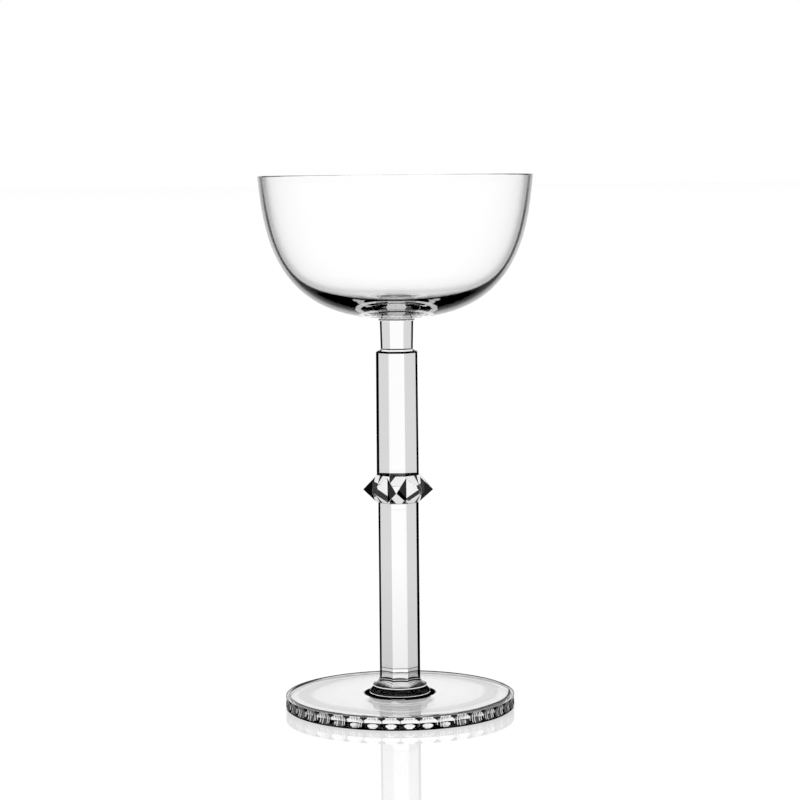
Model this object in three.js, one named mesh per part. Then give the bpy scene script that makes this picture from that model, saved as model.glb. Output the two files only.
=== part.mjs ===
// A tall clear-crystal goblet: a thin blown coupe bowl on a cut eight-sided stem, with a diamond-point
// knop half way down, two round collars, and a round foot with a thumb-cut edge.
// Millimetres, +Z up. The origin is the middle of the underside that the goblet stands on.

import * as THREE from 'three';

// Driving dimensions of the foot
const footRadius = 42.25;
const footEdgeHeight = 4.6;
const footBevelWidth = 1.6;
const footBevelHeight = 0.4;
const footUndersideChamfer = 0.3;
const footHubHeight = 0.4;
const footHubSpread = 3.8;
const thumbCutCount = 40;
const thumbCutDepth = 0.6;
const thumbCutTopMargin = 0.15;
const thumbCutBottomMargin = 0.35;
const thumbCutOverlapShare = 1.08;

// Driving dimensions of the two collars
const lowerCollarRadius = 11.2;
const lowerCollarHeight = 2.3;
const lowerCollarBandHeight = 0.5;
const lowerCollarTuck = 0.2;
const waistRadius = 9.4;
const upperCollarRadius = 9.95;
const upperCollarLipHeight = 0.6;
const upperCollarFlareHeight = 3.3;
const collarStubHeight = 3.5;

// Driving dimensions of the stem. A width is measured across two opposite flats of the usual depth.
const stemSides = 8;
const lowerStemLength = 61.35;
const lowerStemFootWidth = 14.85;
const lowerStemKnopWidth = 14.8;
const lowerStemTurn = THREE.MathUtils.degToRad(1.5);
const knopHeight = 9.95;
const knopPointHeight = 4.3;
const knopRadius = 12.9;
const knopValleyDepth = 0.55;
const knopTurn = THREE.MathUtils.degToRad(-3);
const upperStemLength = 45.2;
const upperStemKnopWidth = 15.4;
const upperStemTopWidth = 15.1;
const upperStemTurn = THREE.MathUtils.degToRad(-1.5);
const ledgeHeight = 0.9;
const neckLength = 10.5;
const neckBaseWidth = 11.7;
const neckTopWidth = 12.2;

// How much deeper than usual each flat of a stem is cut, from the front one round anticlockwise
const stemExtraCuts = [-0.15, 0.1, 0, 0, 0, 0, 0, 0.1];

// Driving dimensions of the bowl
const rimRadius = 50.1;
const bowlDepth = 51.8;
const bowlFloorThickness = 3.2;
const bowlBaseRadius = 15.6;
const bowlBaseRise = 0.8;
const bowlFilletWidth = 2.8;
const bowlFilletHeight = 1.2;
const rimWall = 0.97;

// The bowl's outside above its nearly flat base, and its hollow, each follow one smooth curve up to the
// rim. These are the two handles of each curve, as shares of the radius at the rim and of the depth.
const outsideHandleShares = [[0.945, 0.1377], [0.969, 0.7275]];
const hollowHandleShares = [[0.6785, 0], [0.9236, 0.2051]];

// How finely the curved surfaces are divided
const bowlSegments = 56;
const bowlSteps = 13;
const filletSteps = 4;
const bowlBaseSteps = 3;
const collarSegments = 32;
const collarSteps = 5;
const stepsPerThumbCut = 4;
const thumbCutRows = 4;

const clearGlass = { color: 0xeef2f2, roughness: 0.02, metalness: 0 };

// Heights of the joints, from the foot up
const footTop = footEdgeHeight + footBevelHeight;
const lowerCollarBase = footTop + footHubHeight;
const upperCollarBase = lowerCollarBase + lowerCollarHeight;
const lowerStemBase = upperCollarBase + upperCollarLipHeight + upperCollarFlareHeight + collarStubHeight;
const knopBase = lowerStemBase + lowerStemLength;
const upperStemBase = knopBase + knopHeight;
const ledgeBase = upperStemBase + upperStemLength;
const neckBase = ledgeBase + ledgeHeight;
const bowlBase = neckBase + neckLength;

const sideAngle = 2 * Math.PI / stemSides;
const evenCuts = Array(stemSides).fill(0);

// A closed mesh from a stack of rings of points, bottom ring first, each running anticlockwise
function solidFromRings(rings) {
  const count = rings[0].length;
  const positions = rings.flat(2);
  const triangles = [];
  for (let level = 0; level + 1 < rings.length; level += 1) {
    for (let i = 0; i < count; i += 1) {
      const next = (i + 1) % count;
      const a = level * count + i;
      const b = level * count + next;
      triangles.push(a, b, b + count, a, b + count, a + count);
    }
  }
  const bottomCentre = positions.length / 3;
  positions.push(0, 0, rings[0][0][2]);
  positions.push(0, 0, rings[rings.length - 1][0][2]);
  const lastRing = (rings.length - 1) * count;
  for (let i = 0; i < count; i += 1) {
    const next = (i + 1) % count;
    triangles.push(bottomCentre, next, i);
    triangles.push(bottomCentre + 1, lastRing + i, lastRing + next);
  }
  return meshGeometry(positions, triangles);
}

function meshGeometry(positions, triangles) {
  const geometry = new THREE.BufferGeometry();
  geometry.setAttribute('position', new THREE.Float32BufferAttribute(positions, 3));
  geometry.setIndex(triangles);
  geometry.computeVertexNormals();
  return geometry;
}

function polar(radius, azimuth, height) {
  return [radius * Math.cos(azimuth), radius * Math.sin(azimuth), height];
}

function cornerAzimuths(turn) {
  return Array.from({ length: stemSides }, (_, i) => turn + sideAngle * (i + 1 / 2));
}

function cornerRadius(width) {
  return width / 2 / Math.cos(sideAngle / 2);
}

// The corners of an eight-sided section, from the one after the front flat round anticlockwise
function sectionCorners({ width, height, cuts = evenCuts, turn = 0 }) {
  const reaches = cuts.map((cut) => width / 2 - cut);
  return reaches.map((reach, i) => {
    const nextReach = reaches[(i + 1) % stemSides];
    const along = (nextReach - reach * Math.cos(sideAngle)) / Math.sin(sideAngle);
    const facing = turn - Math.PI / 2 + sideAngle * i;
    return polar(Math.hypot(reach, along), facing + Math.atan2(along, reach), height);
  });
}

// A solid of revolution about +Z from an outline of [radius, height] points
function turnedSolid(outline, segments) {
  const geometry = new THREE.LatheGeometry(outline.map(([radius, height]) =>
    new THREE.Vector2(radius, height)), segments);
  geometry.rotateX(Math.PI / 2);
  return geometry;
}

function curvePoints(controls, steps) {
  const vectors = controls.map(([radius, height]) => new THREE.Vector3(radius, 0, height));
  const curve = vectors.length === 3
    ? new THREE.QuadraticBezierCurve3(...vectors)
    : new THREE.CubicBezierCurve3(...vectors);
  return curve.getPoints(steps).map((point) => [point.x, point.z]);
}

// Height of a thumb cut's outline above or below its middle, at an offset along the foot's edge
function thumbCutReach(offset, halfWidth, halfHeight) {
  return halfHeight * Math.sqrt(1 - (offset / halfWidth) ** 2);
}

function footGeometry() {
  const pitch = 2 * Math.PI / thumbCutCount;
  const halfWidth = footRadius * pitch / 2 * thumbCutOverlapShare;
  const cutTop = footEdgeHeight - thumbCutTopMargin;
  const cutBottom = footUndersideChamfer + thumbCutBottomMargin;
  const cutMiddle = (cutTop + cutBottom) / 2;
  const halfHeight = (cutTop - cutBottom) / 2;
  const columns = [];
  for (let i = 0; i < thumbCutCount * stepsPerThumbCut; i += 1) {
    const offset = ((i % stepsPerThumbCut) / stepsPerThumbCut - 1 / 2) * pitch * footRadius;
    columns.push({ azimuth: -Math.PI / 2 + pitch * i / stepsPerThumbCut, offset });
  }
  const levelRing = (radius, height) => columns.map(({ azimuth }) => polar(radius, azimuth, height));
  const cutRing = (share) => columns.map(({ azimuth, offset }) => {
    const reach = thumbCutReach(offset, halfWidth, halfHeight) * share;
    const depth = thumbCutDepth * (1 - (offset / halfWidth) ** 2 - (reach / halfHeight) ** 2);
    return polar(footRadius - depth, azimuth, cutMiddle + reach);
  });
  const rings = [
    levelRing(footRadius - footUndersideChamfer, 0),
    levelRing(footRadius, footUndersideChamfer),
  ];
  for (let row = 0; row <= thumbCutRows; row += 1) {
    rings.push(cutRing(2 * row / thumbCutRows - 1));
  }
  rings.push(levelRing(footRadius, footEdgeHeight));
  rings.push(levelRing(footRadius - footBevelWidth, footTop));
  for (let step = 0; step <= filletSteps; step += 1) {
    const swing = step / filletSteps * Math.PI / 2;
    const radius = lowerCollarRadius + footHubSpread * (1 - Math.sin(swing));
    rings.push(levelRing(radius, footTop + footHubHeight * (1 - Math.cos(swing))));
  }
  return solidFromRings(rings);
}

function lowerCollarGeometry() {
  const bandTop = lowerCollarBase + lowerCollarBandHeight;
  const shoulder = curvePoints([
    [lowerCollarRadius, bandTop],
    [(lowerCollarRadius + waistRadius) / 2 + lowerCollarTuck, upperCollarBase - lowerCollarBandHeight],
    [waistRadius, upperCollarBase],
  ], collarSteps);
  const outline = [
    [0, lowerCollarBase],
    [lowerCollarRadius - lowerCollarTuck, lowerCollarBase],
    ...shoulder,
    [0, upperCollarBase],
  ];
  return turnedSolid(outline, collarSegments);
}

// Points round a section: its corners, with even steps along each side between them
function sectionOutline(corners, count) {
  const steps = count / stemSides;
  return Array.from({ length: count }, (_, i) => {
    const side = Math.floor(i / steps);
    const from = new THREE.Vector2(...corners[side]);
    const to = new THREE.Vector2(...corners[(side + 1) % stemSides]);
    return from.lerp(to, (i % steps) / steps);
  });
}

// The upper collar flares from the stem's eight facets to a round lip
function upperCollarGeometry() {
  const facets = sectionOutline(lowerStemSection(lowerStemFootWidth, lowerStemBase), collarSegments);
  const lipTop = upperCollarBase + upperCollarLipHeight;
  const ring = (radius, inward, height) => facets.map((point) =>
    polar(THREE.MathUtils.lerp(radius, point.length(), inward), point.angle(), height));
  const rings = [
    ring(waistRadius, 0, upperCollarBase),
    ring(upperCollarRadius, 0, upperCollarBase + upperCollarLipHeight / 2),
  ];
  for (let step = 0; step <= collarSteps; step += 1) {
    const swing = step / collarSteps * Math.PI / 2;
    const height = lipTop + upperCollarFlareHeight * (1 - Math.cos(swing));
    rings.push(ring(upperCollarRadius, Math.sin(swing), height));
  }
  rings.push(ring(upperCollarRadius, 1, lowerStemBase));
  return solidFromRings(rings);
}

function lowerStemSection(width, height) {
  return sectionCorners({ width, height, cuts: stemExtraCuts, turn: lowerStemTurn });
}

function lowerStemGeometry() {
  return solidFromRings([
    lowerStemSection(lowerStemFootWidth, lowerStemBase),
    lowerStemSection(lowerStemKnopWidth, knopBase),
  ]);
}

// The knop has one diamond point for each side of the stem. Each is a four-sided pyramid, and its
// neighbours meet it in a valley that lies a little outside the stem's corner.
function knopGeometry() {
  const middle = knopBase + knopPointHeight;
  const flat = upperStemKnopWidth / 2;
  const corner = cornerRadius(upperStemKnopWidth);
  const valley = corner + knopValleyDepth;
  const valleyShare = (knopRadius - valley * Math.cos(sideAngle / 2)) / (knopRadius - flat);
  const corners = cornerAzimuths(knopTurn);
  const ringOf = (radius, height) => corners.map((azimuth) => polar(radius, azimuth, height));
  const points = corners.map((azimuth) => polar(knopRadius, azimuth + sideAngle / 2, middle));
  const rings = [
    ringOf(corner, knopBase),
    ringOf(valley, THREE.MathUtils.lerp(middle, knopBase, valleyShare)),
    ringOf(valley, THREE.MathUtils.lerp(middle, upperStemBase, valleyShare)),
    ringOf(corner, upperStemBase),
    points,
    [[0, 0, knopBase], [0, 0, upperStemBase]],
  ];
  const [low, lowValley, highValley, high, point, centre] = rings.map((_, i) => i * stemSides);
  const triangles = [];
  for (let i = 0; i < stemSides; i += 1) {
    const next = (i + 1) % stemSides;
    const tip = point + i;
    triangles.push(tip, highValley + i, lowValley + i);
    triangles.push(tip, lowValley + next, highValley + next);
    triangles.push(tip, lowValley + i, low + i, tip, low + i, low + next, tip, low + next, lowValley + next);
    triangles.push(tip, high + i, highValley + i, tip, high + next, high + i);
    triangles.push(tip, highValley + next, high + next);
    triangles.push(centre, low + next, low + i, centre + 1, high + i, high + next);
  }
  return meshGeometry(rings.flat(2), triangles);
}

function upperStemSection(width, height) {
  return sectionCorners({ width, height, cuts: stemExtraCuts, turn: upperStemTurn });
}

function upperStemGeometry() {
  return solidFromRings([
    upperStemSection(upperStemKnopWidth, upperStemBase),
    upperStemSection(upperStemTopWidth, ledgeBase),
    sectionCorners({ width: neckBaseWidth, height: neckBase }),
  ]);
}

function neckGeometry() {
  return solidFromRings([
    sectionCorners({ width: neckBaseWidth, height: neckBase }),
    sectionCorners({ width: neckTopWidth, height: bowlBase }),
  ]);
}

function bowlGeometry() {
  const seatRadius = cornerRadius(neckTopWidth);
  const bottomRadius = seatRadius + bowlFilletWidth;
  const bottom = bowlBase + bowlFilletHeight;
  const rimHeight = bottom + bowlDepth;
  const fillet = curvePoints([
    [seatRadius, bowlBase],
    [seatRadius, bottom],
    [bottomRadius, bottom],
  ], filletSteps);
  const base = curvePoints([
    [bottomRadius, bottom],
    [(bottomRadius + bowlBaseRadius) / 2, bottom],
    [bowlBaseRadius, bottom + bowlBaseRise],
  ], bowlBaseSteps);
  const floor = bottom + bowlFloorThickness;
  const mouthRadius = rimRadius - rimWall;
  const handles = (shares, radius, lowest) => shares.map(([radiusShare, heightShare]) =>
    [radius * radiusShare, THREE.MathUtils.lerp(lowest, rimHeight, heightShare)]);
  const outside = curvePoints([
    [bowlBaseRadius, bottom + bowlBaseRise],
    ...handles(outsideHandleShares, rimRadius, bottom),
    [rimRadius, rimHeight],
  ], bowlSteps);
  const hollow = curvePoints([
    [0, floor],
    ...handles(hollowHandleShares, mouthRadius, floor),
    [mouthRadius, rimHeight],
  ], bowlSteps);
  const outline = [[0, bowlBase], ...fillet, ...base.slice(1), ...outside.slice(1), ...hollow.reverse()];
  return turnedSolid(outline, bowlSegments);
}

function piece(name, geometry) {
  const mesh = new THREE.Mesh(geometry, new THREE.MeshStandardMaterial(clearGlass));
  mesh.name = name;
  return mesh;
}

const goblet = new THREE.Group();
goblet.add(
  piece('foot', footGeometry()),
  piece('lower_collar', lowerCollarGeometry()),
  piece('upper_collar', upperCollarGeometry()),
  piece('lower_stem', lowerStemGeometry()),
  piece('knop', knopGeometry()),
  piece('upper_stem', upperStemGeometry()),
  piece('neck', neckGeometry()),
  piece('bowl', bowlGeometry()),
);

export default goblet;
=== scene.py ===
"""A tall clear-crystal goblet on a white studio floor: a thin blown coupe bowl on a cut eight-sided stem,
with a diamond-point knop, two round collars and a round foot with a thumb-cut edge. Metres, +Z up."""

import math
from functools import cache

import bmesh
import bpy
import numpy as np
from mathutils import Euler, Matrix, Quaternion, Vector


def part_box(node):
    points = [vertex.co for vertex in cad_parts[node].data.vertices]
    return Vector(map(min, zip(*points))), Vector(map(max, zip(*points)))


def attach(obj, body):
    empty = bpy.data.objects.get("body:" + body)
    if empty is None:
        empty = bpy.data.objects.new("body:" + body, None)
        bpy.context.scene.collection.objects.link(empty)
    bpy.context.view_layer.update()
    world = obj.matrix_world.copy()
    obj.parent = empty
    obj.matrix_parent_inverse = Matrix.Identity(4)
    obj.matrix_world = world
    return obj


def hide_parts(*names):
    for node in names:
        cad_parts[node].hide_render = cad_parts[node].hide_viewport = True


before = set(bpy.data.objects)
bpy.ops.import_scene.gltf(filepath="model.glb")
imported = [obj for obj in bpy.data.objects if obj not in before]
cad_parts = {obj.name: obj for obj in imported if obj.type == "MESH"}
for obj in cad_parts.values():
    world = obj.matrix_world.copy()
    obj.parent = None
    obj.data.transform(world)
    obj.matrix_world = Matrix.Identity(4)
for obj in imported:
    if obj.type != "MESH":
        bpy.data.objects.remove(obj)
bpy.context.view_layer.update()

MM = 0.001
NEAR = 0.01 * MM
SAME = 0.001 * MM
TOUCHING = 0.0001 * MM


def corners_of(node):
    """The distance from the axis and the height of each corner of a solid."""
    return [(v.co.xy.length, v.co.z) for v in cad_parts[node].data.vertices]


def radii_at(node, height):
    """How far from the axis a solid's corners are at one height, the nearest first."""
    return sorted(r for r, z in corners_of(node) if abs(z - height) < NEAR)


def widest(node):
    """The greatest radius of a solid, and the lowest and highest places where it is that wide."""
    points = corners_of(node)
    radius = max(r for r, _ in points)
    heights = [z for r, z in points if radius - r < NEAR]
    return radius, min(heights), max(heights)


# The joints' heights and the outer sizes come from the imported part
FOOT_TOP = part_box("foot")[1].z
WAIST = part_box("lower_collar")[1].z
STEM_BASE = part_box("lower_stem")[0].z
KNOP_BASE, KNOP_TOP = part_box("knop")[0].z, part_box("knop")[1].z
NECK_BASE, NECK_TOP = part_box("neck")[0].z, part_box("neck")[1].z
LEDGE_BASE = max(z for _, z in corners_of("upper_stem") if z < NECK_BASE - NEAR)
RIM_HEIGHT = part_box("bowl")[1].z
RIM_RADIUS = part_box("bowl")[1].x
FOOT_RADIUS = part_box("foot")[1].x
LOWER_COLLAR_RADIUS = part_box("lower_collar")[1].x

# The foot's outline, and its thumb cuts
_, UNDERSIDE_CHAMFER, FOOT_EDGE = widest("foot")
FOOT_FLAT = max(z for r, z in corners_of("foot") if r > FOOT_RADIUS / 2)
BEVEL_WIDTH = FOOT_RADIUS - radii_at("foot", FOOT_FLAT)[-1]
HUB_SPREAD = radii_at("foot", FOOT_FLAT)[0] - LOWER_COLLAR_RADIUS
BEVEL_BANDS = 5
HUB_BANDS = 8
CUT_COUNT = 40
CUT_DEPTH = 0.6 * MM
CUT_TOP_MARGIN = 0.15 * MM
CUT_BOTTOM_MARGIN = 0.35 * MM
CUT_OVERLAP = 1.08
CUT_COLUMNS = 24
CUT_ROWS = 14

# Where the foot's glasses of painted light and shade meet in a cut, in shares of its half height and half
# width from its middle, and the columns that carry painted glints
DOME_BASE = -0.02
LINE_TOP = 0.8
OVAL_MIDDLE = -0.56
OVAL_HALF_HEIGHT = 0.44
OVAL_HALF_WIDTH = 0.6
DOME_TOP_HALF_WIDTH = 0.6
GLINT_COLUMNS = (5, 9, 17, 20)

# The collars
LOWER_COLLAR_TUCK = LOWER_COLLAR_RADIUS - radii_at("lower_collar", FOOT_TOP)[-1]
COLLAR_BAND = widest("lower_collar")[2] - FOOT_TOP
WAIST_RADIUS = radii_at("lower_collar", WAIST)[-1]
LIP_RADIUS, _, LIP_TOP = widest("upper_collar")
LIP_MIDDLE = (WAIST + LIP_TOP) / 2
FLARE_TOP = max(z for _, z in corners_of("upper_collar") if z < STEM_BASE - NEAR)
FLARE_BANDS = 20

# The seams of the stem, the fine line below the knop, and a dark line of painted shade along the ledge's edge
SEAM_HEIGHT = 0.35 * MM
TOP_SEAM = 0.25 * MM
BOTTOM_SEAM = 0.3 * MM
LINE_DROP = 2.2 * MM
LINE_HEIGHT = 0.15 * MM
LEDGE_SHADE = 0.35 * MM
LEDGE_SHARE = 0.4

# The knop
KNOP_ARRIS = 0.05 * MM
KNOP_FLATNESS = math.radians(0.5)
KNOP_UPRIGHT = 0.1

# The bowl
HOLLOW_FLOOR = max(z for r, z in corners_of("bowl") if r < NEAR)
RIM_WALL = RIM_RADIUS - radii_at("bowl", RIM_HEIGHT)[0]
BASE_RADIUS = 15.6 * MM
BASE_RISE = 0.8 * MM
FILLET_WIDTH = 2.8 * MM
FILLET_HEIGHT = 1.2 * MM
OUTSIDE_SHARES = ((0.945, 0.1377), (0.969, 0.7275))
HOLLOW_SHARES = ((0.6785, 0.0), (0.9236, 0.2051))

# How finely the surfaces are divided, and the angle from which an edge between two faces is sharp
ROUND_STEPS = 256
SIDE_STEPS = 12
SHOULDER_STEPS = 24
TUCK_STEPS = 6
LIP_STEPS = 5
FILLET_STEPS = 16
BASE_STEPS = 20
WALL_STEPS = 90
RIM_STEPS = 10
ARRIS = math.radians(0.12)
SHARP = math.radians(9)

# The camera and the studio
CAMERA_DISTANCE = 0.899
CAMERA_HEIGHT = 0.1965
CAMERA_PITCH = math.radians(5.261)
CAMERA_ROLL = math.radians(0.55)
CAMERA_ASIDE = 1.0 * MM
CAMERA_REACH = (0.01, 50)
FOCAL_PIXELS = 2463
FRAME_PIXELS = 800
SENSOR = 36.0
FLOOR_SIZE = 40
FLOOR_DROP = 0.05 * MM
FLOOR_GLOW = 0.87
FLOOR_TONE = 0.15
FLOOR_POLISH = 0.3
FLOOR_ROUGHNESS = 0.06
KEY_PLACE = (-0.5, -0.3, 0.9)
KEY_TARGET = (0, 0, 0.1)
KEY_SIZE = 0.4
KEY_POWER = 4

# Material slots. The first two are the same in every piece, and a band or line may have one of its own.
OUTSIDE, JOINT, BAND, LINE = range(4)
# The foot's own slots carry the light and shade painted on its cut edge, bevel and hub.
EDGE_SLOT, DARK_SLOT, HUB_SLOT, BEVEL_SLOT, OVAL_SLOT, CUSP_SLOT, MIDDLE_SLOT, GLINT_SLOT = range(2, 10)

# The glass
GLASS_IOR = 1.53
NO_LIGHT = (0, 0, 0, 1)
MOST_BOUNCES = 32
GLOSSY_BOUNCES = 7
CLEAR_BOUNCES = 64
ARRIS_SHEEN = 0.85
CUT_SHEEN = 0.75
FOOT_GLOSS = 0.35
HUB_DARK = 12.9 * MM
HUB_LIGHT = 13.6 * MM
HUB_GRAIN, HUB_SWAY = 60, 0.8 * MM
FOOT_GRAIN, FOOT_SWAY = 25, 9 * MM
BASE_GRAIN, BASE_SWAY = 90, 2.5 * MM
STEM_SHADE = 0.86
STEM_SHADE_HEIGHT = 40 * MM

# The height of a face's normal where the curve of painted shade for the bowl's underside sets in, and where
# it is all there is
UNDERSIDE_TURN = (-0.55, -0.75)

# How much light passes or is mirrored, as painted shade and light: each curve has stops of (slant, level),
# where a face with slant 0 is square to the ray and a face with slant 1 is edge on. Crystal holds in all the
# light that meets it from inside at a slant over about 0.243, so several of the inner curves turn there.
WHITE = ((0, 1), (1, 1))
DARK = ((0, 0.03), (1, 0.03))
BLACK = ((0, 0), (1, 0))
EDGE_ON = ((0, 0), (0.8, 0), (0.95, 1))

# The bowl's curves
BOWL_LEAVE = ((0, 1), (0.2345, 1), (0.2392, 0), (1, 0))
BOWL_FRONT = (
    (0, 1), (0.3, 0.95), (0.5, 0.8), (0.64, 0.6), (0.69, 0.2), (0.73, 0), (0.75, 0.2), (0.79, 0.8), (0.83, 1))
BOWL_UNDER = ((0, 1), (0.15, 0.5), (0.3, 0), (0.65, 0), (0.71, 0.23), (0.75, 0.45), (0.8, 1))
BOWL_BACK = (
    (0, 1), (0.1, 0.85), (0.2, 0.6), (0.2392, 0), (0.2431, 0), (0.2471, 0.1), (0.251, 0.9), (1, 0.95))

# The stem's curves
STEM_ENTER = ((0, 0.96), (0.08, 0.96), (0.28, 0.72), (0.5, 0.7))
STEM_FRONT = ((0, 1), (0.12, 0.6), (0.25, 0), (0.6, 0), (0.75, 0.3), (0.9, 1))
STEM_BACK = (
    (0, 1), (0.15, 0.3), (0.2431, 0.3), (0.251, 0.9), (0.36, 0.9), (0.42, 0.02), (0.62, 0.02), (0.75, 0.9))
SEAM_ENTER = ((0, 0.3), (1, 0.1))
FAINT_ENTER = ((0, 0.75), (1, 0.7))

# The knop's curves
KNOP_CLEAR = ((0.08, 1), (0.3, 0.9), (0.5, 0.85))
KNOP_FRONT = ((0, 1), (0.3, 0.8), (0.44, 0.6), (0.59, 0.43), (0.68, 0.3), (0.73, 0), (0.76, 0.5), (0.8, 1))
KNOP_BACK = ((0, 1), (0.15, 0.1), (1, 0.1))
POINT_ENTER = ((0, 0.88), (0.06, 0.88), (0.15, 0.03), (1, 0.03))

# The collars' curves
COLLAR_ENTER = ((0, 1), (0.25, 0.9), (0.4, 0.1), (0.75, 0))
COLLAR_BACK = ((0, 1), (0.15, 0.03), (1, 0.03))

# The curves of the foot's top, its bevel and its cut edge
FOOT_BACK = ((0, 0.9), (0.2, 0.6), (0.245, 0.95), (1, 0.97))
BEVEL_FRONT = ((0, 1), (0.8, 1), (0.86, 0.1))
EDGE_ENTER = ((0, 1), (0.1, 0.95), (0.25, 0.5), (0.45, 0.15), (0.8, 0.05))
EDGE_LEAVE = ((0, 0.95), (0.2431, 0.8))
EDGE_FRONT = ((0, 1), (0.15, 0.95), (0.3, 0.3), (0.45, 0.1), (0.7, 0.1), (0.9, 0.6))
EDGE_BACK = ((0, 0.9), (0.2, 0.1), (1, 0.1))
OVAL_LIGHT = ((0, 1), (0.04, 1), (0.08, 0.8), (0.13, 0.3), (0.2, 0.1), (1, 0.1))
GLINT_FRONT = ((0, 1), (0.04, 1), (0.08, 0.8), (0.13, 1), (0.45, 1), (0.6, 0.15), (1, 0.15))
LINE_FRONT = ((0, 0), (0.08, 0), (0.15, 1), (0.5, 1), (0.7, 0.3), (1, 0.3))
MIDDLE_FRONT = ((0, 1), (0.15, 0.95), (0.45, 1), (0.6, 0.2), (1, 0.2))

# Levels of painted light and painted shade that go by the distance from the axis, in shares of the bowl
# base's radius and of the foot's
BASE_RINGS = ((0, 0.9), (0.4, 0.9), (0.42, 0), (0.63, 0), (0.65, 0.9), (0.76, 0.9), (0.78, 0), (1, 0))
FOOT_RINGS = (
    (0, 1), (0.5, 1), (0.72, 0.97), (0.77, 0.85), (0.86, 0.83), (0.89, 0.97), (0.957, 0.95), (0.965, 0.1),
    (1, 0.1))


def bezier(points, steps):
    """Points along a quadratic or cubic curve of [radius, height] controls."""
    s = np.linspace(0, 1, steps + 1)[:, None]
    p = [np.array(point, float) for point in points]
    if len(p) == 3:
        return (1 - s) ** 2 * p[0] + 2 * s * (1 - s) * p[1] + s**2 * p[2]
    return (1 - s) ** 3 * p[0] + 3 * s * (1 - s) ** 2 * p[1] + 3 * s**2 * (1 - s) * p[2] + s**3 * p[3]


def ring(radii, azimuths, heights):
    """Points round the axis. The radii and the heights may each be one number for the whole ring."""
    azimuths = np.asarray(azimuths)
    out = np.empty((len(azimuths), 3))
    out[:, 0] = radii * np.cos(azimuths)
    out[:, 1] = radii * np.sin(azimuths)
    out[:, 2] = heights
    return out


def even_azimuths():
    return np.arange(ROUND_STEPS) * 2 * math.pi / ROUND_STEPS


def section(node, height):
    """The corners of a CAD node's eight-sided section at a height, by azimuth."""
    found = {}
    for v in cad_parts[node].data.vertices:
        if abs(v.co.z - height) < NEAR and v.co.xy.length > MM:
            found[round(math.degrees(math.atan2(v.co.y, v.co.x)), 1)] = (v.co.x, v.co.y)
    return np.array([found[azimuth] for azimuth in sorted(found)])


def section_azimuths(corners):
    """Azimuths round a section, dense along each side, with a narrow flat on each corner."""
    at = np.arctan2(corners[:, 1], corners[:, 0])
    rows = []
    for i, start in enumerate(at):
        end = at[i + 1] if i + 1 < len(at) else at[0] + 2 * math.pi
        rows.append(np.linspace(start + ARRIS, end - ARRIS, SIDE_STEPS + 1))
    return np.concatenate(rows)


def section_radii(corners, azimuths):
    """Distance from the axis to the section's side in each direction. Only sides that face it count."""
    least, far = 0.1, 1
    edge = np.roll(corners, -1, axis=0) - corners
    normal = np.stack([edge[:, 1], -edge[:, 0]], 1)
    normal /= np.linalg.norm(normal, axis=1)[:, None]
    reach = (normal * corners).sum(1)
    cosines = np.cos(np.subtract.outer(azimuths, np.arctan2(normal[:, 1], normal[:, 0])))
    return np.where(cosines > least, reach / np.maximum(cosines, least), far).min(1)


def section_ring(node, height):
    """A ring of points round a CAD node's section at a height."""
    corners = section(node, height)
    azimuths = section_azimuths(corners)
    return ring(section_radii(corners, azimuths), azimuths, height)


def stack(node, low, high, levels):
    """Rings up a straight length of the stem, at each of the levels between its sections low and high."""
    bottom, top = section_ring(node, low), section_ring(node, high)
    return [bottom + (top - bottom) * (level - low) / (high - low) for level in levels]


def build_mesh(name, verts, faces, slots):
    mesh = bpy.data.meshes.new(name)
    mesh.from_pydata([tuple(v) for v in verts], [], faces)
    mesh.polygons.foreach_set("material_index", slots)
    mesh.polygons.foreach_set("use_smooth", [True] * len(faces))
    mesh.validate()
    mesh.update()
    mesh.set_sharp_from_angle(angle=SHARP)
    return place(mesh)


def place(mesh):
    """An object for a mesh, in the scene."""
    made = bpy.data.objects.new(mesh.name, mesh)
    bpy.context.scene.collection.objects.link(made)
    return made


def loft(name, rings, joint_below=True, joint_above=True):
    """A closed mesh through rings of points, bottom ring first, with a fan at each end. A fan that lies
    inside the glass, against a neighbour, is a joint face."""
    count = len(rings[0])
    verts = list(np.concatenate(rings))
    faces, slots = [], []
    bands = len(rings) - 1
    for level in range(bands):
        for i in range(count):
            j = (i + 1) % count
            a, b = level * count + i, level * count + j
            faces.append((a, b, b + count, a + count))
            slots.append(OUTSIDE)
    bottom, top = len(verts), len(verts) + 1
    verts.append((0, 0, rings[0][0][2]))
    verts.append((0, 0, rings[-1][0][2]))
    last = bands * count
    for i in range(count):
        j = (i + 1) % count
        faces.append((bottom, j, i))
        slots.append(JOINT if joint_below else OUTSIDE)
        faces.append((top, last + i, last + j))
        slots.append(JOINT if joint_above else OUTSIDE)
    return build_mesh(name, verts, faces, slots)


def mark(made, slot, low, high):
    """Give the outer faces between two heights a material slot of their own."""
    for polygon in made.data.polygons:
        if polygon.material_index == OUTSIDE and low < polygon.center.z < high:
            polygon.material_index = slot


def cut_slot(up, across, column):
    """The slot of a face in a thumb cut, where light and shade are painted: a bright dome above, an oval
    below it, and fine lines of light, on dark glass.
    """
    glint = column in GLINT_COLUMNS
    if column == 0 and up < LINE_TOP:
        return CUSP_SLOT
    if up > DOME_BASE:
        return MIDDLE_SLOT if glint or column == CUT_COLUMNS // 2 else EDGE_SLOT
    if ((up - OVAL_MIDDLE) / OVAL_HALF_HEIGHT) ** 2 + (across / OVAL_HALF_WIDTH) ** 2 < 1:
        return GLINT_SLOT if glint else OVAL_SLOT
    return CUSP_SLOT if glint else DARK_SLOT


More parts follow.
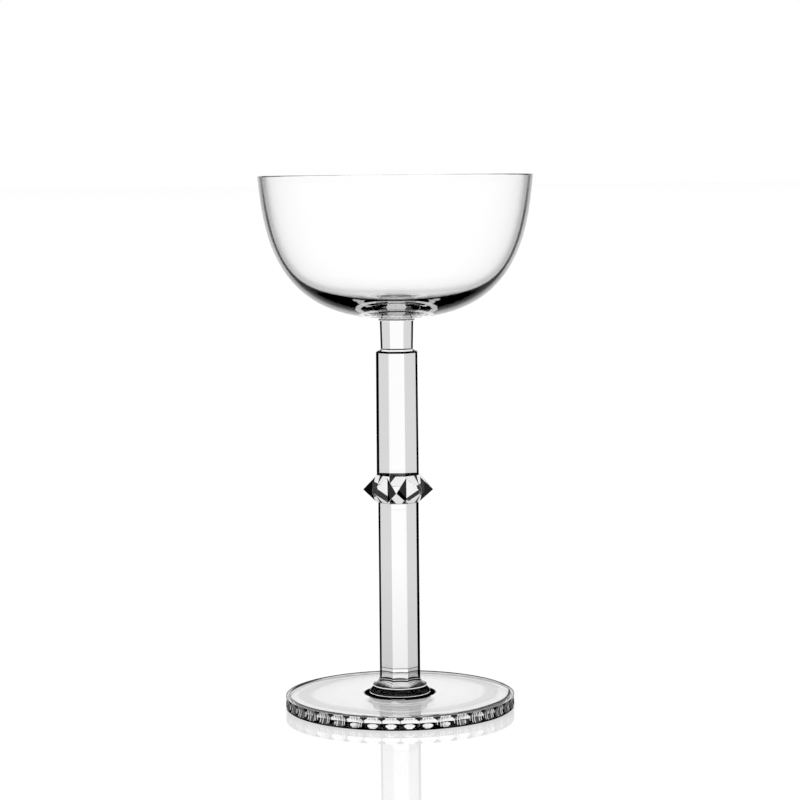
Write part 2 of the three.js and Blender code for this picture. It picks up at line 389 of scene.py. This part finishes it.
def foot_slot(band, column):
    """The slot of a face of the foot, by its band from the underside's chamfer up and its column round."""
    first_cut = 2
    above_cuts = first_cut + CUT_ROWS
    bevel = above_cuts + 1
    hub = bevel + BEVEL_BANDS + 1
    across = (column + 0.5) / CUT_COLUMNS * 2 - 1
    if first_cut <= band < above_cuts:
        return cut_slot((band - first_cut + 0.5) / CUT_ROWS * 2 - 1, across, column)
    if band == above_cuts and abs(across) < DOME_TOP_HALF_WIDTH:
        return EDGE_SLOT
    if band < bevel:
        return DARK_SLOT
    if band < bevel + BEVEL_BANDS:
        return BEVEL_SLOT
    return HUB_SLOT if hub <= band < hub + HUB_BANDS else OUTSIDE


def hollow_rings(low_radius, high_radius, low, high, bands, azimuths):
    """Rings up a hollow quarter turn, which starts level, going inward, and ends upright."""
    rings = []
    for swing in np.linspace(0, math.pi / 2, bands + 1):
        radius = low_radius + (high_radius - low_radius) * math.sin(swing)
        rings.append(ring(radius, azimuths, low + (high - low) * (1 - math.cos(swing))))
    return rings


def make_foot():
    """The round foot: each of its cuts is a shallow hollow whose outline the rows of the mesh follow."""
    pitch = 2 * math.pi / CUT_COUNT
    half_width = FOOT_RADIUS * pitch / 2 * CUT_OVERLAP
    cut_top, cut_bottom = FOOT_EDGE - CUT_TOP_MARGIN, UNDERSIDE_CHAMFER + CUT_BOTTOM_MARGIN
    middle, half_height = (cut_top + cut_bottom) / 2, (cut_top - cut_bottom) / 2
    steps = np.arange(CUT_COUNT * CUT_COLUMNS)
    azimuths = -math.pi / 2 + pitch * steps / CUT_COLUMNS
    offset = ((steps % CUT_COLUMNS) / CUT_COLUMNS - 0.5) * pitch * FOOT_RADIUS
    reach = half_height * np.sqrt(1 - (offset / half_width) ** 2)
    rings = [
        ring(FOOT_RADIUS - UNDERSIDE_CHAMFER, azimuths, 0),
        ring(FOOT_RADIUS, azimuths, UNDERSIDE_CHAMFER),
    ]
    for share in np.linspace(-1, 1, CUT_ROWS + 1):
        depth = CUT_DEPTH * (1 - (offset / half_width) ** 2 - (reach * share / half_height) ** 2)
        rings.append(ring(FOOT_RADIUS - depth, azimuths, middle + reach * share))
    rings += hollow_rings(FOOT_RADIUS, FOOT_RADIUS - BEVEL_WIDTH, FOOT_EDGE, FOOT_FLAT, BEVEL_BANDS, azimuths)
    hub_edge = LOWER_COLLAR_RADIUS + HUB_SPREAD
    rings += hollow_rings(hub_edge, LOWER_COLLAR_RADIUS, FOOT_FLAT, FOOT_TOP, HUB_BANDS, azimuths)
    rings.append(ring(LOWER_COLLAR_RADIUS - LOWER_COLLAR_TUCK, azimuths, FOOT_TOP))
    made = loft("foot_cut", rings, joint_below=False)
    # Each face takes the crystal of the light or shade painted on it there.
    for polygon in made.data.polygons:
        band, column = divmod(polygon.index, len(azimuths))
        if polygon.material_index == OUTSIDE:
            polygon.material_index = foot_slot(band, column % CUT_COLUMNS)
    return made


def make_lower_collar():
    band_top = FOOT_TOP + COLLAR_BAND
    shoulder = bezier([
        (LOWER_COLLAR_RADIUS, band_top),
        ((LOWER_COLLAR_RADIUS + WAIST_RADIUS) / 2 + LOWER_COLLAR_TUCK, WAIST - COLLAR_BAND),
        (WAIST_RADIUS, WAIST)], SHOULDER_STEPS)
    foot_side = bezier([
        (LOWER_COLLAR_RADIUS - LOWER_COLLAR_TUCK, FOOT_TOP),
        (LOWER_COLLAR_RADIUS, FOOT_TOP + LOWER_COLLAR_TUCK),
        (LOWER_COLLAR_RADIUS, band_top)], TUCK_STEPS)
    azimuths = even_azimuths()
    made = loft("lower_collar_turned", [ring(r, azimuths, z) for r, z in [*foot_side, *shoulder[1:]]])
    # The tuck into the foot gets a band of painted highlight.
    mark(made, BAND, FOOT_TOP, FOOT_TOP + LOWER_COLLAR_TUCK)
    return made


def make_upper_collar():
    """A round lip that runs up in a hollow flare to the stem's eight sides."""
    corners = section("lower_stem", STEM_BASE)
    azimuths = section_azimuths(corners)
    facet = section_radii(corners, azimuths)
    lip = bezier([(WAIST_RADIUS, WAIST), (LIP_RADIUS, WAIST), (LIP_RADIUS, LIP_MIDDLE)], LIP_STEPS)
    rings = [ring(r, azimuths, z) for r, z in lip]
    rings += hollow_rings(LIP_RADIUS, facet, LIP_TOP, FLARE_TOP, FLARE_BANDS, azimuths)
    rings.append(ring(facet, azimuths, STEM_BASE))
    made = loft("upper_collar_flared", rings)
    # The top of the lip gets a band of painted highlight.
    mark(made, BAND, LIP_MIDDLE, LIP_TOP)
    return made


def make_lower_stem():
    """The length below the knop, with a seam at each end and a fine line near its top."""
    line = KNOP_BASE - LINE_DROP
    levels = (STEM_BASE, STEM_BASE + SEAM_HEIGHT, line - LINE_HEIGHT, line, KNOP_BASE - TOP_SEAM, KNOP_BASE)
    made = loft("lower_stem_cut", stack("lower_stem", STEM_BASE, KNOP_BASE, levels))
    mark(made, BAND, STEM_BASE, STEM_BASE + SEAM_HEIGHT)
    mark(made, LINE, line - LINE_HEIGHT, line)
    mark(made, BAND, KNOP_BASE - TOP_SEAM, KNOP_BASE)
    return made


def make_upper_stem():
    """The length above the knop, and the ledge that it ends in below the neck."""
    levels = (KNOP_TOP, KNOP_TOP + BOTTOM_SEAM, LEDGE_BASE - LEDGE_SHADE, LEDGE_BASE)
    rings = stack("upper_stem", KNOP_TOP, LEDGE_BASE, levels)
    neck = section_ring("neck", NECK_BASE)
    rings += [rings[-1] + (neck - rings[-1]) * LEDGE_SHARE, neck]
    made = loft("upper_stem_cut", rings)
    ledge_line = LEDGE_BASE + (NECK_BASE - LEDGE_BASE) * LEDGE_SHARE
    mark(made, BAND, KNOP_TOP, KNOP_TOP + BOTTOM_SEAM)
    # A dark line of painted shade runs along the ledge's edge, with plain glass above it.
    mark(made, BAND, LEDGE_BASE - LEDGE_SHADE, ledge_line)
    mark(made, LINE, ledge_line, NECK_BASE)
    return made


def make_neck():
    return loft("neck_cut", [section_ring("neck", NECK_BASE), section_ring("neck", NECK_TOP)])


def level_faces(bm, height):
    """The faces that lie flat at a height."""
    return [f for f in bm.faces if all(abs(v.co.z - height) < NEAR for v in f.verts)]


def divide_joint(bm, node, height):
    """Divide the knop's flat face round a neighbour's section, and make what is inside it the joint."""
    corners = section(node, height)
    for a, b in zip(corners, np.roll(corners, -1, axis=0)):
        normal = Vector((b[1] - a[1], a[0] - b[0], 0)).normalized()
        faces = level_faces(bm, height)
        edges, verts = {e for f in faces for e in f.edges}, {v for f in faces for v in f.verts}
        bmesh.ops.bisect_plane(
            bm, geom=[*faces, *edges, *verts], dist=TOUCHING, plane_co=(a[0], a[1], height), plane_no=normal)
    for face in level_faces(bm, height):
        centre = face.calc_center_median()
        reach = section_radii(corners, np.array([math.atan2(centre.y, centre.x)]))[0]
        face.material_index = JOINT if centre.xy.length < reach else OUTSIDE


def make_knop():
    """The knop's solid with polished arrises, and its two joint faces divided round the stem's outline."""
    bm = bmesh.new()
    bm.from_mesh(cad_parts["knop"].data)
    bmesh.ops.remove_doubles(bm, verts=bm.verts, dist=SAME)
    bmesh.ops.dissolve_limit(bm, angle_limit=KNOP_FLATNESS, verts=bm.verts, edges=bm.edges)
    flat = {e for height in (KNOP_BASE, KNOP_TOP) for f in level_faces(bm, height) for e in f.edges}
    arrises = [e for e in bm.edges if e not in flat]
    bmesh.ops.bevel(bm, geom=arrises, offset=KNOP_ARRIS, segments=1, affect="EDGES", profile=0.5)
    divide_joint(bm, "lower_stem", KNOP_BASE)
    divide_joint(bm, "upper_stem", KNOP_TOP)
    # Upright faces take a crystal of their own, painted dark where they don't face the viewer: painted shade.
    for face in bm.faces:
        if abs(face.normal.z) < KNOP_UPRIGHT:
            face.material_index = BAND
    mesh = bpy.data.meshes.new("knop_cut")
    bm.to_mesh(mesh)
    bm.free()
    return place(mesh)


def make_bowl():
    """The blown bowl: a fillet from the neck, a nearly flat base, the outside, a round lip and the hollow."""
    corners = section("neck", NECK_TOP)
    seat = np.linalg.norm(corners, axis=1).max()
    bottom = NECK_TOP + FILLET_HEIGHT
    bottom_radius = seat + FILLET_WIDTH
    base_top = bottom + BASE_RISE
    mouth = RIM_RADIUS - RIM_WALL
    rim = RIM_WALL / 2
    rise = RIM_HEIGHT - rim
    fillet = bezier([(seat, NECK_TOP), (seat, bottom), (bottom_radius, bottom)], FILLET_STEPS)
    base = bezier([
        (bottom_radius, bottom),
        ((bottom_radius + BASE_RADIUS) / 2, bottom),
        (BASE_RADIUS, base_top)], BASE_STEPS)
    outside = bezier([
        (BASE_RADIUS, base_top),
        *[(RIM_RADIUS * a, bottom + (RIM_HEIGHT - bottom) * b) for a, b in OUTSIDE_SHARES],
        (RIM_RADIUS, rise)], WALL_STEPS)
    lip = [(RIM_RADIUS - rim + rim * math.cos(a), rise + rim * math.sin(a))
           for a in np.linspace(0, math.pi, RIM_STEPS + 1)]
    hollow = bezier([
        (0, HOLLOW_FLOOR),
        *[(mouth * a, HOLLOW_FLOOR + (RIM_HEIGHT - HOLLOW_FLOOR) * b) for a, b in HOLLOW_SHARES],
        (mouth, rise)], WALL_STEPS)[::-1]
    azimuths = even_azimuths()
    rings = [ring(section_radii(corners, azimuths), azimuths, NECK_TOP)]
    rings += [ring(r, azimuths, z) for r, z in [*fillet, *base[1:], *outside[1:], *lip[1:], *hollow[1:-1]]]
    made = loft("bowl_blown", rings, joint_above=False)
    # The base takes a crystal with painted rings of light.
    mark(made, BAND, NECK_TOP, base_top)
    return made


class Tree:
    """A node tree with short calls for the nodes used here."""

    def __init__(self, tree):
        self.tree = tree
        tree.nodes.clear()

    def set(self, socket, value):
        if isinstance(value, bpy.types.NodeSocket):
            self.tree.links.new(value, socket)
        else:
            socket.default_value = value

    def node(self, kind, settings=None, **inputs):
        """A node with its inputs given by name."""
        made = self.tree.nodes.new(kind)
        for key, value in (settings or {}).items():
            setattr(made, key, value)
        for key, value in inputs.items():
            self.set(made.inputs[key], value)
        return made

    def listed(self, kind, *inputs, settings=None):
        """The first output of a node with its inputs given in their order."""
        made = self.node(kind, settings)
        for socket, value in zip(made.inputs, inputs):
            self.set(socket, value)
        return made.outputs[0]

    def math(self, operation, a, b):
        return self.listed("ShaderNodeMath", a, b, settings={"operation": operation})

    def ramp(self, value, low, high, start, end):
        """A level that runs from start to end while the value runs from low to high."""
        return self.listed("ShaderNodeMapRange", value, low, high, start, end)

    def mix(self, share, first, second):
        return self.listed("ShaderNodeMixShader", share, first, second)


def new_material(name):
    made = bpy.data.materials.new(name)
    made.use_nodes = True
    return made, Tree(made.node_tree)


def curve(t, value, stops):
    """A level that follows a value through the stops, or one plain level where all of them agree."""
    greys = [(level, level, level, 1) for _, level in stops]
    if len(set(greys)) == 1:
        return greys[0]
    made = t.node("ShaderNodeValToRGB", Fac=value)
    elements = made.color_ramp.elements
    while len(elements) < len(stops):
        elements.new(0.5)
    for element, (at, _), grey in zip(elements, stops, greys):
        element.position = at
        element.color = grey
    return made.outputs[0]


def pick(t, share, first, second):
    """The first colour where the share is 0 and the second where it is 1, or the one that both are."""
    if first == second:
        return first
    made = t.node("ShaderNodeMix", {"data_type": "RGBA"})
    first_colour, second_colour, mixed_colour = made.inputs[6], made.inputs[7], made.outputs[2]
    t.set(made.inputs[0], share)
    t.set(first_colour, first)
    t.set(second_colour, second)
    return mixed_colour


def crystal(name, enter, leave, front, back, under=None, leak=None, painted_shade=None, sheen=0, gloss=1):
    """Clear crystal. It bends light in (enter) and out (leave), and mirrors it off its outside (front) and
    inside (back) faces, each by a curve over how slanting the face is, which paints its shade and light.
    Faces that look down may mirror by a curve of their own (under), which paints shade on them, some of the
    light that is held in may go straight out (leak) as painted light, and painted shade may dim the outside
    from place to place. The outside may mirror more (sheen) or less (gloss) than glass."""
    material, t = new_material(name)
    facing = t.node("ShaderNodeLayerWeight", Blend=0.5).outputs["Facing"]
    mirrored = t.node("ShaderNodeFresnel", IOR=GLASS_IOR).outputs[0]
    geometry = t.node("ShaderNodeNewGeometry")
    inside = geometry.outputs["Backfacing"]
    outer = curve(t, facing, front)
    entering = curve(t, facing, enter)
    if under:
        upward = t.node("ShaderNodeSeparateXYZ", Vector=geometry.outputs["Normal"]).outputs["Z"]
        outer = pick(t, t.ramp(upward, *UNDERSIDE_TURN, 0, 1), outer, curve(t, facing, under))
    if painted_shade:
        level = painted_shade(t)
        outer = pick(t, level, NO_LIGHT, outer)
        entering = pick(t, level, NO_LIGHT, entering)
    if sheen:
        mirrored = t.math("MAXIMUM", mirrored, t.math("MULTIPLY", t.math("SUBTRACT", 1, inside), sheen))
    if gloss < 1:
        mirrored = t.math("MULTIPLY", mirrored, t.ramp(inside, 0, 1, gloss, 1))
    bent_colour = pick(t, inside, entering, curve(t, facing, leave))
    mirror_colour = pick(t, inside, outer, curve(t, facing, back))
    bend = t.node("ShaderNodeBsdfRefraction", Color=bent_colour, Roughness=0.0, IOR=GLASS_IOR)
    mirror = t.node("ShaderNodeBsdfGlossy", Color=mirror_colour, Roughness=0.0)
    result = t.mix(mirrored, bend.outputs[0], mirror.outputs[0])
    if leak:
        through = t.node("ShaderNodeBsdfTransparent")
        result = t.mix(t.math("MULTIPLY", inside, leak(t)), result, through.outputs[0])
    t.node("ShaderNodeOutputMaterial", Surface=result)
    return material


def uneven_radius(t, grain, sway):
    """Distance from the axis, made a little uneven, so that the rings of painted light and shade laid by it
    wobble.
    """
    spot = t.node("ShaderNodeTexCoord").outputs["Object"]
    flat = t.listed("ShaderNodeVectorMath", spot, (1, 1, 0), settings={"operation": "MULTIPLY"})
    away = t.node("ShaderNodeVectorMath", {"operation": "LENGTH"})
    t.set(away.inputs[0], flat)
    waves = t.node("ShaderNodeTexNoise", Vector=spot, Scale=grain, Detail=1)
    shift = t.math("MULTIPLY", t.math("SUBTRACT", waves.outputs[0], 0.5), sway)
    return t.math("ADD", away.outputs["Value"], shift)


def base_painted_light(t):
    """Painted light in the bowl's base: how much held light it lets out, in a few uneven rings."""
    return curve(t, t.ramp(uneven_radius(t, BASE_GRAIN, BASE_SWAY), 0, BASE_RADIUS, 0, 1), BASE_RINGS)


def foot_painted_shade(t):
    """Painted shade on the foot's top: it takes in and mirrors less light in two rings near its edge."""
    return curve(t, t.ramp(uneven_radius(t, FOOT_GRAIN, FOOT_SWAY), 0, FOOT_RADIUS, 0, 1), FOOT_RINGS)


def hub_painted_shade(t):
    """Painted shade: the hollow that runs up to the collar is dark, out to a ring a little wider than the
    collar.
    """
    return t.ramp(uneven_radius(t, HUB_GRAIN, HUB_SWAY), HUB_DARK, HUB_LIGHT, 0, 1)


def stem_painted_shade(t):
    """Painted shade: the lower stem darkens toward the foot."""
    spot = t.node("ShaderNodeTexCoord").outputs["Object"]
    height = t.node("ShaderNodeSeparateXYZ", Vector=spot).outputs["Z"]
    return t.ramp(height, STEM_BASE, STEM_BASE + STEM_SHADE_HEIGHT, STEM_SHADE, 1)


# Every material is made once, and pieces that are cut alike share it


@cache
def joint_face():
    """The face of a joint: the glass runs on through it."""
    material, t = new_material("joint_face")
    t.node("ShaderNodeOutputMaterial", Surface=t.node("ShaderNodeBsdfTransparent").outputs[0])
    return material


@cache
def blown_glass():
    return crystal("blown_crystal", WHITE, BOWL_LEAVE, BOWL_FRONT, BOWL_BACK, under=BOWL_UNDER)


@cache
def base_glass():
    return crystal("base_crystal", WHITE, WHITE, BOWL_FRONT, BOWL_BACK, under=BOWL_UNDER, leak=base_painted_light)


@cache
def cut_glass():
    return crystal("cut_crystal", STEM_ENTER, WHITE, STEM_FRONT, STEM_BACK)


@cache
def low_stem_glass():
    return crystal("low_stem_crystal", STEM_ENTER, WHITE, STEM_FRONT, STEM_BACK, painted_shade=stem_painted_shade)


@cache
def seam_glass():
    return crystal("seam_crystal", SEAM_ENTER, KNOP_CLEAR, STEM_FRONT, KNOP_BACK)


@cache
def faint_glass():
    return crystal("faint_crystal", FAINT_ENTER, WHITE, STEM_FRONT, STEM_BACK)


# Painted shade: light that would come in is black.
@cache
def ledge_glass():
    return crystal("ledge_crystal", BLACK, WHITE, EDGE_ON, STEM_BACK)


@cache
def ledge_top_glass():
    return crystal("ledge_top_crystal", WHITE, WHITE, WHITE, WHITE)


@cache
def knop_glass():
    return crystal("knop_crystal", KNOP_CLEAR, KNOP_CLEAR, KNOP_FRONT, KNOP_BACK)


@cache
def point_glass():
    return crystal("point_crystal", POINT_ENTER, KNOP_CLEAR, STEM_FRONT, KNOP_BACK)


@cache
def upper_collar_glass():
    return crystal("collar_crystal", COLLAR_ENTER, KNOP_CLEAR, STEM_FRONT, COLLAR_BACK)


# The lower collar is painted dark: painted shade.
@cache
def lower_collar_glass():
    return crystal("low_collar_crystal", DARK, WHITE, EDGE_ON, COLLAR_BACK)


# Painted highlight: the outside mirrors white at every slant.
@cache
def arris_highlight_glass():
    return crystal("arris_highlight_crystal", WHITE, WHITE, WHITE, EDGE_BACK, sheen=ARRIS_SHEEN)


@cache
def foot_glass():
    return crystal("foot_crystal", WHITE, WHITE, WHITE, FOOT_BACK, painted_shade=foot_painted_shade, gloss=FOOT_GLOSS)


@cache
def hub_glass():
    return crystal("hub_crystal", WHITE, WHITE, WHITE, FOOT_BACK, painted_shade=hub_painted_shade, gloss=FOOT_GLOSS)


# The crystals of the foot's bevel and cut edge paint its light and shade: bright domes, ovals and lines, and
# dark glass.
@cache
def bevel_glass():
    return crystal("bevel_crystal", WHITE, WHITE, BEVEL_FRONT, EDGE_BACK)


@cache
def edge_glass():
    return crystal("edge_crystal", EDGE_ENTER, EDGE_LEAVE, EDGE_FRONT, EDGE_BACK, sheen=CUT_SHEEN)


@cache
def dark_glass():
    return crystal("dark_crystal", DARK, EDGE_LEAVE, EDGE_ON, EDGE_BACK)


@cache
def oval_glass():
    return crystal("oval_crystal", OVAL_LIGHT, EDGE_LEAVE, OVAL_LIGHT, EDGE_BACK, sheen=CUT_SHEEN)


@cache
def cusp_glass():
    return crystal("line_crystal", DARK, EDGE_LEAVE, LINE_FRONT, EDGE_BACK, sheen=ARRIS_SHEEN)


@cache
def middle_glass():
    return crystal("middle_crystal", EDGE_ENTER, EDGE_LEAVE, MIDDLE_FRONT, EDGE_BACK, sheen=ARRIS_SHEEN)


@cache
def glint_glass():
    return crystal("glint_crystal", OVAL_LIGHT, EDGE_LEAVE, GLINT_FRONT, EDGE_BACK, sheen=ARRIS_SHEEN)


def floor_material():
    """A pale polished floor. It glows white to the eye and in the glass, and still takes the shadow."""
    material, t = new_material("studio_floor")
    path = t.node("ShaderNodeLightPath")
    seen = t.math("MAXIMUM", path.outputs["Is Camera Ray"], path.outputs["Is Glossy Ray"])
    seen = t.math("MAXIMUM", seen, path.outputs["Is Transmission Ray"])
    white = t.node("ShaderNodeEmission", Color=(1, 1, 1, 1), Strength=t.math("MULTIPLY", seen, FLOOR_GLOW))
    diffuse = t.node("ShaderNodeBsdfDiffuse", Color=(FLOOR_TONE, FLOOR_TONE, FLOOR_TONE, 1))
    matt = t.listed("ShaderNodeAddShader", white.outputs[0], diffuse.outputs[0])
    gloss = t.node("ShaderNodeBsdfGlossy", Color=(1, 1, 1, 1), Roughness=FLOOR_ROUGHNESS)
    t.node("ShaderNodeOutputMaterial", Surface=t.mix(FLOOR_POLISH, matt, gloss.outputs[0]))
    return material


def make_floor():
    bm = bmesh.new()
    bmesh.ops.create_grid(bm, x_segments=1, y_segments=1, size=FLOOR_SIZE)
    mesh = bpy.data.meshes.new("studio_floor")
    bm.to_mesh(mesh)
    bm.free()
    mesh.materials.append(floor_material())
    floor = place(mesh)
    floor.location.z = -FLOOR_DROP


def make_world():
    world = bpy.data.worlds.new("studio")
    bpy.context.scene.world = world
    world.use_nodes = True
    t = Tree(world.node_tree)
    back = t.node("ShaderNodeBackground", Color=(1, 1, 1, 1), Strength=1.0)
    t.node("ShaderNodeOutputWorld", Surface=back.outputs[0])


def make_camera():
    data = bpy.data.cameras.new("camera")
    data.sensor_width = SENSOR
    data.lens = SENSOR * FOCAL_PIXELS / FRAME_PIXELS
    data.clip_start, data.clip_end = CAMERA_REACH
    camera = bpy.data.objects.new("camera", data)
    camera.location = (CAMERA_ASIDE, -CAMERA_DISTANCE, CAMERA_HEIGHT)
    camera.rotation_mode = "QUATERNION"
    level = Euler((math.pi / 2 - CAMERA_PITCH, 0, 0)).to_quaternion()
    camera.rotation_quaternion = level @ Quaternion((0, 0, 1), -CAMERA_ROLL)
    bpy.context.scene.collection.objects.link(camera)
    bpy.context.scene.camera = camera


def make_key_lamp():
    """A soft lamp at the upper left. It lights the floor, and isn't seen in the glass."""
    data = bpy.data.lights.new("key", "AREA")
    data.shape = "RECTANGLE"
    data.size = data.size_y = KEY_SIZE
    data.energy = KEY_POWER
    lamp = bpy.data.objects.new("key", data)
    lamp.location = KEY_PLACE
    lamp.visible_glossy = False
    lamp.visible_transmission = False
    lamp.rotation_euler = (Vector(KEY_TARGET) - Vector(KEY_PLACE)).to_track_quat("-Z", "Y").to_euler()
    bpy.context.scene.collection.objects.link(lamp)


def set_up_scene():
    """The plain view transform, and enough bounces for light to find its way through the glass."""
    scene = bpy.context.scene
    scene.view_settings.view_transform = "Standard"
    scene.cycles.max_bounces = MOST_BOUNCES
    scene.cycles.glossy_bounces = GLOSSY_BOUNCES
    scene.cycles.transmission_bounces = MOST_BOUNCES
    scene.cycles.transparent_max_bounces = CLEAR_BOUNCES


def dress(piece, node, slot, *materials):
    """Give a piece its materials, in the order of its slots, and its place in the part."""
    for material in materials:
        piece.data.materials.append(material)
    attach(piece, "root")
    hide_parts(node)


set_up_scene()
make_camera()
dress(make_foot(), "foot", "cut_crystal", foot_glass(), joint_face(), edge_glass(), dark_glass(),
      hub_glass(), bevel_glass(), oval_glass(), cusp_glass(), middle_glass(), glint_glass())
dress(make_lower_collar(), "lower_collar", "cut_crystal", lower_collar_glass(), joint_face(), arris_highlight_glass())
dress(make_upper_collar(), "upper_collar", "cut_crystal", upper_collar_glass(), joint_face(), arris_highlight_glass())
dress(make_lower_stem(), "lower_stem", "cut_crystal", low_stem_glass(), joint_face(), seam_glass(),
      faint_glass())
dress(make_knop(), "knop", "cut_crystal", knop_glass(), joint_face(), point_glass())
dress(make_upper_stem(), "upper_stem", "cut_crystal", cut_glass(), joint_face(), ledge_glass(),
      ledge_top_glass())
dress(make_neck(), "neck", "cut_crystal", cut_glass(), joint_face())
dress(make_bowl(), "bowl", "blown_crystal", blown_glass(), joint_face(), base_glass())
make_floor()
make_world()
make_key_lamp()
